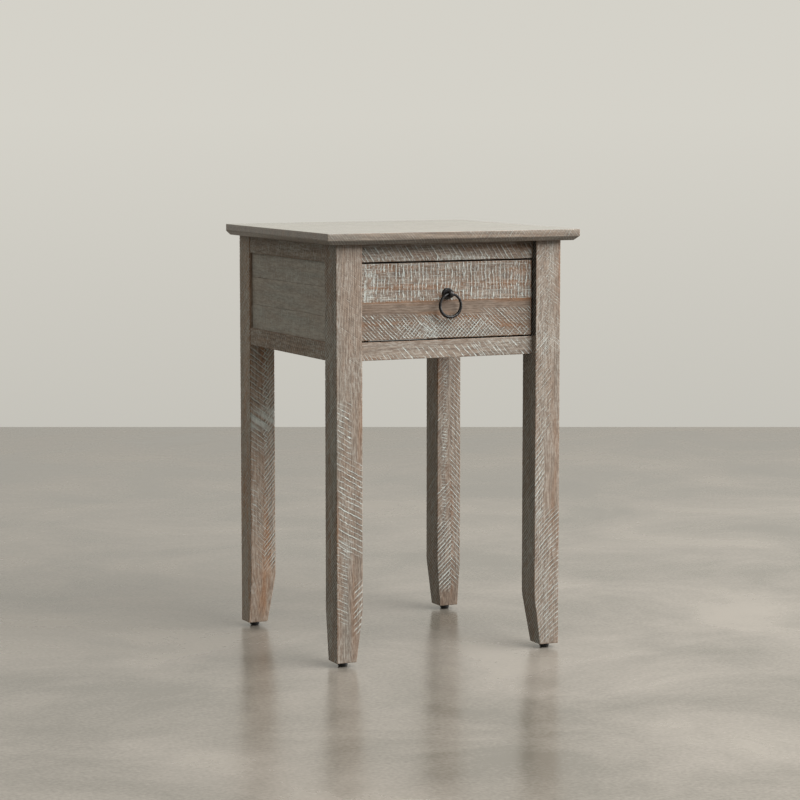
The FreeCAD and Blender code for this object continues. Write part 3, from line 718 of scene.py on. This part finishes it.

# %% [markdown]
# ## Rails and panels
# Rails tie the legs together. Their ends are let into the legs a hair so that no light shows
# at the joint. The panels lie behind them, three boards to a side. The sides of the two front
# rails that face the drawer get a dark coat with no wax, painted shade that draws the dark line
# round the drawer.

# %% Rails and panels
LET_IN = 0.4
RAIL_CUTS = {
    "front_top_rail": [cut(0.74, 8.2, reach=(-14, 8), strength=2.2, width=2.2, gaps=0.25, wax=0.8,
                           shadow=0.8),
                       cut(0.0, 6, (-120, 110), (-14, -6), 2.0, width=2.6, gaps=0.5)],
    "front_bottom_rail": [cut(0.95, 10.5, (-80, 60), (-14, 4), 1.8, width=2.4),
                          cut(0.95, 8, (40, 150), (-14, 9), 2.0, width=2.4),
                          cut(0.8, 7, (-140, -70), (-14, -5), 1.3)],
    "back_top_rail": [cut(0.8, 9, strength=1.4)], "back_bottom_rail": [cut(-0.8, 9, strength=1.4)],
    "left_top_rail": [cut(0.3, 6, strength=1.1, wax=0.5)],
    "left_bottom_rail": [cut(-0.6, 7, strength=1.4, wax=0.6)],
    "right_top_rail": [cut(0.7, 8, strength=1.1)], "right_bottom_rail": [cut(-0.8, 8, strength=1.4)],
}
GAP_SIDE = {"front_top_rail": "bottom", "front_bottom_rail": "top"}
for number, (node, cuts) in enumerate(RAIL_CUTS.items(), start=11):
    crosswise = node.startswith(("front", "back"))
    grain = 0 if crosswise else 1
    square = ("left", "right") if crosswise else ("front", "back")
    reach = (LET_IN, 0, 0) if crosswise else (0, LET_IN, 0)
    # The side that faces the drawer gets the dark coat of painted shade.
    washed = {**LIME, GAP_SIDE[node]: PAINTED_GAP_SHADE} if node in GAP_SIDE else LIME
    board(node, "frame", "limed_sawn_pine", grain, number,
          {side: cuts for side in SIDES}, washed, square=square, reach=reach, radius=0.9)

PANEL_CUTS = ([cut(0.1, 5, strength=1.0, wax=0.5)], [cut(0.0, 6, strength=0.6, wax=0.4)],
              [cut(-0.1, 5, strength=1.0, wax=0.5)])
PANEL_LIME = {"all": (1.05, 0.10, 1.1), "comb": 0.2, "even": 0.65, "figure": 0.28}
for wall_number, (wall, grain) in enumerate((("left", 1), ("right", 1), ("back", 0))):
    for row in (1, 2, 3):
        board(f"{wall}_panel_board_{row}", "frame", "limed_sawn_pine", grain,
              21 + 3 * wall_number + row, {side: PANEL_CUTS[row - 1] for side in SIDES},
              PANEL_LIME, cell=2.2, radius=0.6, groove=0.2)

# %% [markdown]
# ## The top
# Boards glued edge to edge and sanded, so their seams hardly show. The under-edge is chamfered
# at the front and sides and square at the back, against the wall.

# %% Top
TOP_LOW, TOP_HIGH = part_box("top_board_1")[0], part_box("top_board_4")[1]
CHAMFER_DEEP, CHAMFER_HIGH = 7 * MM, 6.5 * MM


def top_rule(front):
    """The rule that draws in the lower part of the ends, and of the front edge if asked."""
    def rule(points):
        points = points.copy()
        up = np.clip((points[:, 2] - TOP_LOW.z) / CHAMFER_HIGH, 0, 1)
        drawn = CHAMFER_DEEP * (1 - up)
        points[:, 0] *= 1 - drawn / TOP_HIGH.x
        if front:
            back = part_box("top_board_1")[1].y
            points[:, 1] = back + (points[:, 1] - back) * (1 - drawn / (back - TOP_LOW.y))
        return points
    return rule


TOP_FINISH = {"all": (0.35, 0.4, 0.86), "top": (1.45, 0.0, 1.05), "even": 0.8, "figure": 0.75}
TOP_KNOTS = {2: [(60, -40, 635, 11)], 3: [(-120, 60, 635, 8)]}
EDGE_CUTS = [cut(0.9, 4.5, strength=1.2, width=1.4, wax=0.3, shadow=0.4),
             cut(-0.7, 7, (20, 200), strength=1.2, width=1.5, wax=0.4)]
for row in (1, 2, 3, 4):
    square = [side for side, glued in (("front", row > 1), ("back", row < 4)) if glued]
    board(f"top_board_{row}", "frame", "limed_sanded_pine", 0, 40 + row,
          {"front": EDGE_CUTS if row == 1 else [], "left": [], "right": []}, TOP_FINISH,
          cell=2.5, radius=0.9, square=square, rule=top_rule(row == 1),
          extra=((), (), ((TOP_LOW.z + CHAMFER_HIGH) / MM,)), groove=0.06, fibre=0.01,
          knots=TOP_KNOTS.get(row, ()))

# %% [markdown]
# ## Drawer front
# Two boards, one above the other. The upper one was sawn square across in close rows and
# heavily limed; the lower one shows slanting passes that cross in the middle. A pass with a
# slope of 60 runs nearly along the board, and its rows are 5 to 5.5 mm apart across the grain.

# %% Drawer front
UPPER = [cut(0.0, 6.1, strength=2.2, width=1.9, gaps=0.4, shadow=0.9),
         cut(0.04, 4.7, strength=1.7, width=1.6, gaps=0.6, shadow=0.8),
         cut(0.0, 5.2, (-140, -112), strength=1.8, width=3.0, gaps=0.5),
         cut(60, 330, strength=1.7, width=80, gaps=0.6, wax=0.7, shadow=0.5),
         cut(60, 300, (-140, -90), strength=1.6, width=90, gaps=0.6, wax=0.8)]
LOWER = [cut(1.05, 6.2, (-140, -15), (-28, 9), 2.2, width=2.5, gaps=0.35, shadow=0.9),
         cut(1.0, 5.8, (-40, 70), (-28, 7), 2.2, width=2.0, gaps=0.25, shadow=0.9),
         cut(-1.0, 6.0, (-75, 75), (-28, 1), 2.2, width=2.1, gaps=0.25, shadow=0.9),
         cut(1.1, 6.2, (60, 140), (-26, 15), 2.2, width=2.1, gaps=0.35, shadow=0.9),
         cut(-1.0, 6.6, (75, 140), (-28, -14), 1.8, gaps=0.4)]
# The top edge of the upper board and the bottom edge of the lower one face the gaps round the drawer;
# their dark coat is painted shade.
board("drawer_front_upper", "drawer", "limed_sawn_pine", 0, 51,
      {"front": UPPER}, {"all": (0.30, 1.5, 0.82), "top": PAINTED_GAP_SHADE, "comb": 0.35},
      cell=1.3, radius=0.8, square=("bottom",), knots=[(-78, -167, 574, 12), (96, -167, 566, 7)])
board("drawer_front_lower", "drawer", "limed_sawn_pine", 0, 52,
      {"front": LOWER}, {"all": (0.10, 1.0, 0.79), "bottom": PAINTED_GAP_SHADE},
      cell=1.3, radius=0.8, square=("top",))

# %% [markdown]
# ## Bare wood inside
# Runners, kickers, stops and the drawer's sides and back are pine, planed smooth and left bare.
# The drawer bottom is birch plywood, which shows its glued layers on every edge, and the
# dowels and pins are turned beech. These bodies are small and right as they are, so they keep
# their CAD shape and get a finish only. The grain runs along the longest side of each piece.

# %% Materials: planed pine, birch plywood, turned beech
PLY = 1.25 * MM
PLY_END_GRAIN = "#8d6c49"
LOG_PLACE = (0.4, 0.09, 0.06)


def bare_wood(name, along, pale, dark, figure, layered=False):
    """Planed wood with no stain, its grain along one axis. Figure is how strong the rings are."""
    material, tree = fresh_material(name)
    seat = add(tree, "ShaderNodeTexCoord")
    place = add(tree, SPLIT, [seat.outputs["Object"]]).outputs
    log = add(tree, VECTOR, [add(tree, JOIN, [place[(along + k) % 3] for k in range(3)]),
                             LOG_PLACE], operation="ADD")
    summer, fibre = pine_grain(tree, log)
    rings = add(tree, MATH, [summer, figure], operation="MULTIPLY")
    colour = add(tree, MIX, {"Factor": rings, "A": paint(pale), "B": paint(dark)},
                 data_type="RGBA").outputs["Result"]
    if layered:
        layer = add(tree, MATH, [add(tree, MATH, [place[2], 2 * PLY], operation="DIVIDE")],
                    operation="FRACT")
        crosswise = add(tree, MATH, [layer, 0.5], operation="GREATER_THAN")
        up = add(tree, SPLIT, [seat.outputs["Normal"]]).outputs[2]
        edge = add(tree, MATH, [add(tree, MATH, [up], operation="ABSOLUTE"), 0.5],
                   operation="LESS_THAN")
        banded = add(tree, MATH, [crosswise, edge], operation="MULTIPLY")
        colour = add(tree, MIX, {"Factor": banded, "A": colour, "B": paint(PLY_END_GRAIN)},
                     data_type="RGBA").outputs["Result"]
    shade = add(tree, RANGE, {"Value": fibre, "From Min": 0.3, "From Max": 0.7,
                              "To Min": 0.88, "To Max": 1.08})
    colour = add(tree, MIX, {"Factor": 1.0, "A": colour, "B": shade},
                 data_type="RGBA", blend_type="MULTIPLY").outputs["Result"]
    relief = add(tree, "ShaderNodeBump", {"Strength": 0.2, "Distance": 0.1 * MM, "Height": fibre})
    shader = add(tree, "ShaderNodeBsdfPrincipled", {"Base Color": colour, "Roughness": 0.62,
                                                    "Normal": relief})
    add(tree, "ShaderNodeOutputMaterial", [shader])
    return material


# Planed bare pine: pale straw with soft brown rings and a dull sheen from the planer.
PLANED_PINE = [bare_wood(f"planed_pine_along_{axis}", k, "#cbb491", "#a5845b", 0.75)
               for k, axis in enumerate("xyz")]
# Birch plywood: peeled round the log, so the faces are nearly plain and the edges striped.
BIRCH_PLYWOOD = bare_wood("birch_plywood", 0, "#ccb794", "#b3966b", 0.35, layered=True)
# Turned beech: pinkish and even, with short flecks.
TURNED_BEECH = bare_wood("turned_beech", 0, "#c9a27a", "#a87c55", 0.3)
print("bare woods", [m.name for m in (*PLANED_PINE, BIRCH_PLYWOOD, TURNED_BEECH)])

# %% [markdown]
# ## Iron, zinc and nylon
# The pull is forged iron, blackened hot with oil: nearly black, a little shiny where the scale
# is smooth, with shallow hammer dents. Screws and nuts are steel with a thin bright coat of
# zinc, which dries in faint spangles. The glides are moulded nylon, matt from the mould.

# %% Materials: black iron, zinc-plated steel, moulded nylon
def hard_finish(name, low, high, spot, metallic, roughness, dent, bump):
    """A hard surface mottled between two colours. Spot and dent are sizes in mm."""
    material, tree = fresh_material(name)
    place = add(tree, "ShaderNodeTexCoord").outputs["Object"]
    spots = add(tree, NOISE, {"Vector": place, "Scale": 1 / (spot * MM), "Detail": 3.0})
    dents = add(tree, NOISE, {"Vector": place, "Scale": 1 / (dent * MM), "Detail": 1.0})
    share = add(tree, RANGE, {"Value": spots, "From Min": 0.35, "From Max": 0.65})
    colour = add(tree, MIX, {"Factor": share, "A": paint(low), "B": paint(high)},
                 data_type="RGBA").outputs["Result"]
    dull = add(tree, RANGE, {"Value": spots, "From Min": 0.3, "From Max": 0.7,
                             "To Min": 1.2 * roughness, "To Max": 0.8 * roughness})
    relief = add(tree, "ShaderNodeBump", {"Strength": bump, "Distance": 0.3 * MM,
                                          "Height": dents})
    shader = add(tree, "ShaderNodeBsdfPrincipled", {"Base Color": colour, "Metallic": metallic,
                                                    "Roughness": dull, "Normal": relief})
    add(tree, "ShaderNodeOutputMaterial", [shader])
    return material


BLACK_IRON = hard_finish("oil_blackened_iron", "#29292a", "#454443", 2.5, 1.0, 0.42, 3.5, 0.6)
ZINC_STEEL = hard_finish("zinc_plated_steel", "#a5a6a2", "#c6c6c0", 1.2, 1.0, 0.34, 0.6, 0.1)
NYLON = hard_finish("moulded_black_nylon", "#161617", "#232324", 0.8, 0.0, 0.55, 0.5, 0.3)
print("hard finishes", BLACK_IRON.name, ZINC_STEEL.name, NYLON.name)

# %% [markdown]
# ## Dressing the fittings
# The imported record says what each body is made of. Planed pine also needs to know which way
# its grain runs, and a stick is always cut with the grain along its longest side.

# %% Give the carried-over bodies their finish
FINISH_OF_SLOT = {"plywood": BIRCH_PLYWOOD, "beech": TURNED_BEECH, "zinc_steel": ZINC_STEEL,
                  "black_iron": BLACK_IRON, "black_plastic": NYLON}
SLOT_OF_NODE = {part["node"]: part["material_slot"] for part in frame["record"]["subparts"]}


def finish_for(node):
    """The finish of a CAD node: by its slot, and for planed pine by its longest side."""
    slot = SLOT_OF_NODE[node]
    if slot in FINISH_OF_SLOT:
        return FINISH_OF_SLOT[slot]
    low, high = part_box(node)
    return PLANED_PINE[int(np.argmax(high - low))]


for node, body_mesh in frame["nodes"].items():
    if not SLOT_OF_NODE[node].startswith("limed"):
        for holder in body_mesh.material_slots:
            holder.material = finish_for(node)
        print(node, "gets", finish_for(node).name)

# %% [markdown]
# ## The ring
# The ring was bent from round iron bar and hammered, so it is a touch thicker low down, where
# it is held, and not quite even. A tube swept round a circle has no such life. Geometry Nodes
# sweep the tube, then push each point out by a rule of height and a little noise.

# %% Geometry Nodes: forged ring
RING_STEPS, BAR_STEPS = 144, 28
HELD_PART = {"From Min": 0.75, "From Max": -0.9}
HAMMER_RATE = 240.0


def forged_ring_tree():
    """Sweep a round bar round a circle, thicker at the bottom, and hammer it."""
    tree, start = fresh_tree("forged_ring", {
        "Ring radius": "Float", "Bar radius": "Float", "Swelling": "Float", "Hammering": "Float",
        "Centre": "Vector", "Seed": "Float"})
    path, bar = (add(tree, "GeometryNodeCurvePrimitiveCircle", {"Resolution": steps,
                                                                "Radius": start[size]})
                 for steps, size in ((RING_STEPS, "Ring radius"), (BAR_STEPS, "Bar radius")))
    tube = add(tree, "GeometryNodeCurveToMesh", {"Curve": path, "Profile Curve": bar})
    height = add(tree, SPLIT, [add(tree, "GeometryNodeInputPosition")]).outputs[1]
    lowness = add(tree, MATH, [height, start["Ring radius"]], operation="DIVIDE")
    share = add(tree, RANGE, {"Value": lowness, **HELD_PART}, interpolation_type="SMOOTHSTEP")
    seeded = add(tree, JOIN, [0.0, 0.0, start["Seed"]])
    place = add(tree, VECTOR, [add(tree, "GeometryNodeInputPosition"), seeded], operation="ADD")
    dents = add(tree, NOISE, {"Vector": place, "Scale": HAMMER_RATE, "Detail": 1.0})
    hammered = add(tree, MATH, [dents, 0.5], operation="SUBTRACT")
    hammered = add(tree, MATH, [hammered, start["Hammering"], start["Swelling"]],
                   operation="MULTIPLY_ADD")
    push = add(tree, MATH, [hammered, share], operation="MULTIPLY")
    outward = add(tree, VECTOR, {0: add(tree, "GeometryNodeInputNormal"), "Scale": push},
                  operation="SCALE")
    forged = add(tree, "GeometryNodeSetPosition", {"Geometry": tube, "Offset": outward})
    hung = add(tree, "GeometryNodeTransform", {"Geometry": forged, "Translation": start["Centre"],
                                               "Rotation": (math.pi / 2, 0, 0)})
    return close_tree(tree, hung, start["Finish"])


RING_LOW, RING_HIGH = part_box("pull_ring")
BAR_RADIUS = (RING_HIGH.y - RING_LOW.y) / 2
RING_RADIUS = (RING_HIGH.x - RING_LOW.x) / 2 - BAR_RADIUS
ring = bpy.data.objects.new("pull_ring_forged", bpy.data.meshes.new("pull_ring_blank"))
bpy.context.scene.collection.objects.link(ring)
run_tree(ring, forged_ring_tree(), {"Ring radius": RING_RADIUS, "Bar radius": BAR_RADIUS,
                                    "Swelling": 0.32 * MM, "Hammering": 0.5 * MM, "Seed": 3.0,
                                    "Centre": tuple((RING_LOW + RING_HIGH) / 2),
                                    "Finish": BLACK_IRON})
ring.data.polygons.foreach_set("use_smooth", np.ones(len(ring.data.polygons), bool))
shell = bmesh.new()
shell.from_mesh(ring.data)
if shell.calc_volume(signed=True) < 0:
    bmesh.ops.reverse_faces(shell, faces=shell.faces)
shell.to_mesh(ring.data)
shell.free()
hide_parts("pull_ring")
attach(ring, "ring")
print("ring", len(ring.data.polygons), "quads, bar radius", round(BAR_RADIUS / MM, 2), "mm")

# %% [markdown]
# ## Camera
# One long lens, far off to the left front and a little above the top, so that upright edges
# stay nearly upright and the top shows as a thin bright plate.

# %% Camera
LENS, SENSOR_WIDTH = 116.3, 36
CAMERA_PLACE = (-1.6748, -3.5712, 0.7957)
CAMERA_DOWN, CAMERA_ASIDE = 6.18, 25.15
camera = bpy.data.objects.new("camera", bpy.data.cameras.new("camera"))
camera.data.lens = LENS
camera.data.sensor_width = SENSOR_WIDTH
camera.location = CAMERA_PLACE
camera.rotation_euler = (math.radians(90 - CAMERA_DOWN), 0, math.radians(-CAMERA_ASIDE))
bpy.context.scene.collection.objects.link(camera)
bpy.context.scene.camera = camera

# %% [markdown]
# ## Light and floor
# Both lamps are areas, because a window is one: a broad soft one high on the right, and a small
# low one that reaches the back legs under the box. The room is a sky that is paler up and to
# the back, as a white wall is, and dimmer below the horizon. The floor is polished concrete.
# It shows the table's soft reflection but throws no light back up, so the shade under the top
# stays deep. Its far edge is square to the lens and draws a level line behind the table.

# %% Light and floor
ROOM_COLOUR = "#f4f1e7"
BRIGHT_SIDE = (0.40, 0.72, 0.55)
ROOM_GLOW = {"From Min": -0.7, "From Max": 0.75, "To Min": 0.24, "To Max": 0.73}
BELOW_HORIZON = {"From Min": -0.35, "From Max": 0.0, "To Min": 0.55}
CONCRETE_DARK, CONCRETE_PALE = "#6f6a61", "#979087"
MOTTLE_RATE, SPECKLE_RATE = 2.6, 170.0


def soft_light(name, place, target, size, power):
    """A large square light aimed at a point."""
    lamp = bpy.data.objects.new(name, bpy.data.lights.new(name, "AREA"))
    lamp.data.size = size
    lamp.data.energy = power
    lamp.visible_camera = False
    lamp.location = place
    lamp.rotation_euler = (Vector(place) - Vector(target)).to_track_quat("Z", "Y").to_euler()
    bpy.context.scene.collection.objects.link(lamp)
    return lamp


soft_light("window", (1.35, -2.4, 2.75), (0, 0, 0.4), size=2.8, power=190)
soft_light("low_window", (2.9, -0.9, 0.95), (0, 0.1, 0.3), size=1.3, power=62)
world = bpy.data.worlds.new("pale_room")
bpy.context.scene.world = world
world.use_nodes = True
tree = world.node_tree
heading = add(tree, "ShaderNodeTexCoord").outputs["Generated"]
share = add(tree, VECTOR, [heading, BRIGHT_SIDE], operation="DOT_PRODUCT").outputs["Value"]
glow = add(tree, RANGE, {"Value": share, **ROOM_GLOW})
rise = add(tree, SPLIT, [heading]).outputs[2]
glow = add(tree, MATH, [glow, add(tree, RANGE, {"Value": rise, **BELOW_HORIZON})],
           operation="MULTIPLY")
tree.nodes["Background"].inputs["Color"].default_value = paint(ROOM_COLOUR)
tree.links.new(glow.outputs[0], tree.nodes["Background"].inputs["Strength"])
bpy.context.scene.view_settings.view_transform = "Standard"

FLOOR_BEHIND, FLOOR_REACH = 2.75, 9.0
turn = camera.rotation_euler.z
ahead = np.array([-math.sin(turn), math.cos(turn), 0])
aside = np.array([math.cos(turn), math.sin(turn), 0])
corners = [ahead * a + aside * b for a, b in (
    (-FLOOR_REACH, -FLOOR_REACH), (-FLOOR_REACH, FLOOR_REACH),
    (FLOOR_BEHIND, FLOOR_REACH), (FLOOR_BEHIND, -FLOOR_REACH))]
floor_mesh = bpy.data.meshes.new("floor")
floor_mesh.from_pydata([tuple(c) for c in corners], [], [(0, 1, 2, 3)])
floor = bpy.data.objects.new("floor", floor_mesh)
bpy.context.scene.collection.objects.link(floor)
concrete = bpy.data.materials.new("polished_concrete")
concrete.use_nodes = True
tree = concrete.node_tree
shader = tree.nodes["Principled BSDF"]
place = add(tree, "ShaderNodeTexCoord").outputs["Object"]
mottle = add(tree, NOISE, {"Vector": place, "Scale": MOTTLE_RATE, "Detail": 9.0, "Roughness": 0.62,
                           "Distortion": 0.4})
speckle = add(tree, NOISE, {"Vector": place, "Scale": SPECKLE_RATE, "Detail": 2.0})
cloudy = add(tree, MATH, [speckle, 0.3, mottle], operation="MULTIPLY_ADD")
share = add(tree, RANGE, {"Value": cloudy, "From Min": 0.50, "From Max": 0.80})
tone = add(tree, MIX, {"Factor": share, "A": paint(CONCRETE_DARK), "B": paint(CONCRETE_PALE)},
           data_type="RGBA").outputs["Result"]
polish = add(tree, RANGE, {"Value": mottle, "From Min": 0.35, "From Max": 0.65,
                           "To Min": 0.18, "To Max": 0.30})
tree.links.new(polish.outputs[0], shader.inputs["Roughness"])
tree.links.new(tone, shader.inputs["Base Color"])
floor.data.materials.append(concrete)
floor.visible_diffuse = False
